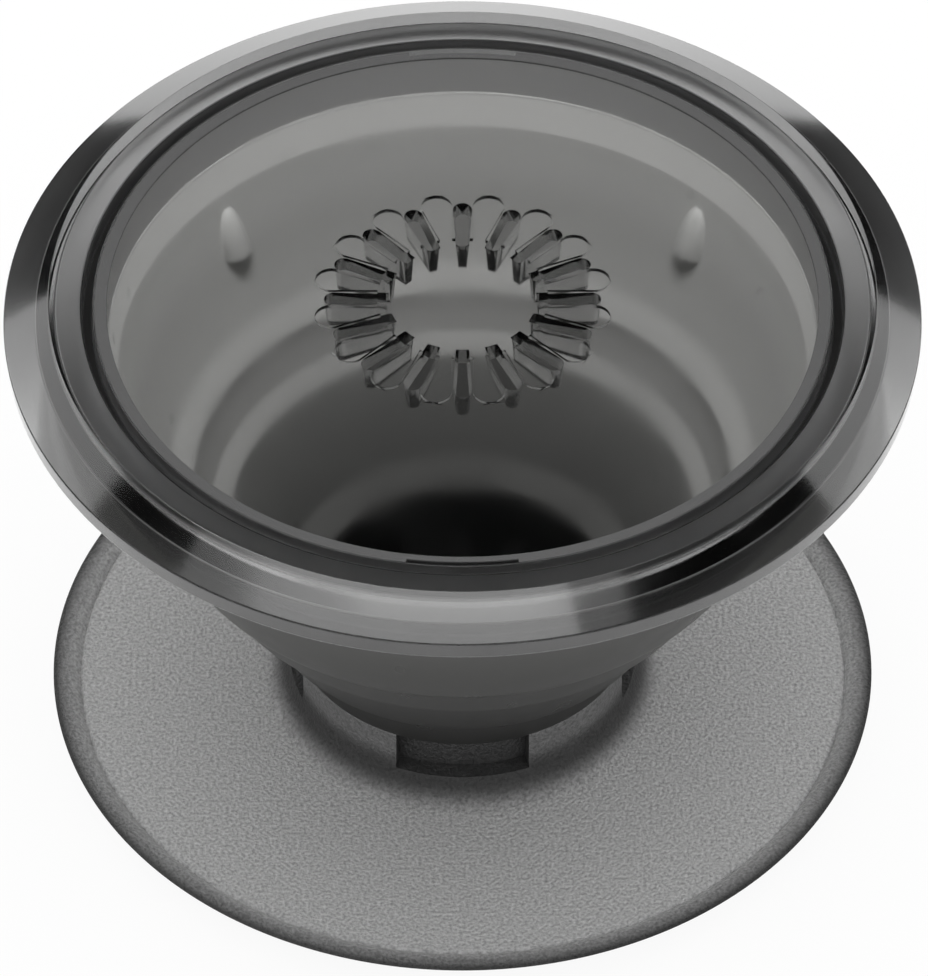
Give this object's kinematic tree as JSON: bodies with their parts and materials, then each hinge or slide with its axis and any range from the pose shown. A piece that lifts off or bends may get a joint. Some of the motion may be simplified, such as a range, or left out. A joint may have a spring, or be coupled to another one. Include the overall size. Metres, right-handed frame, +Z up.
{
  "type": "collapsible phone grip",
  "caption": "Round adhesive base with a soft stepped bellows that pops out or folds flat, and a clear bevelled disc that fingers hold and that twists off its lock ring.",
  "frame": {"origin": "centre of the adhesive pad's underside, where the grip sticks to a phone", "axes": "+Z up the grip's axis from base to disc, -Y towards the viewer of the picture"},
  "size_m": [0.0398, 0.0398, 0.0251],
  "materials": {
    "clear_smoke": "polished smoke-tinted clear plastic",
    "ring_smoke": "satin smoke-tinted plastic",
    "soft_smoke": "satin smoke-tinted elastomer",
    "textured_smoke": "fine spark-textured smoke-tinted plastic",
    "gel": "tacky smooth gel"
  },
  "bodies": {
    "base": {"base": "textured_smoke", "adhesive_pad": "gel"},
    "bellows": {"accordion": "soft_smoke"},
    "head": {"lock_ring": "ring_smoke"},
    "top": {"top_disc": "clear_smoke"}
  },
  "joints": [
    {"name": "swivel", "type": "hinge", "parent": "base", "child": "bellows", "pos_m": [0, 0, 0], "axis": [0, 0, 1], "continuous": true},
    {"name": "collapse", "type": "slide", "parent": "bellows", "child": "head", "axis": [0, 0, 1], "range_m": [-0.017, 0], "deforming": ["accordion"]},
    {"name": "top_twist", "type": "hinge", "parent": "head", "child": "top", "pos_m": [0, 0, 0], "axis": [0, 0, 1], "range_deg": [0, 90]}
  ]
}
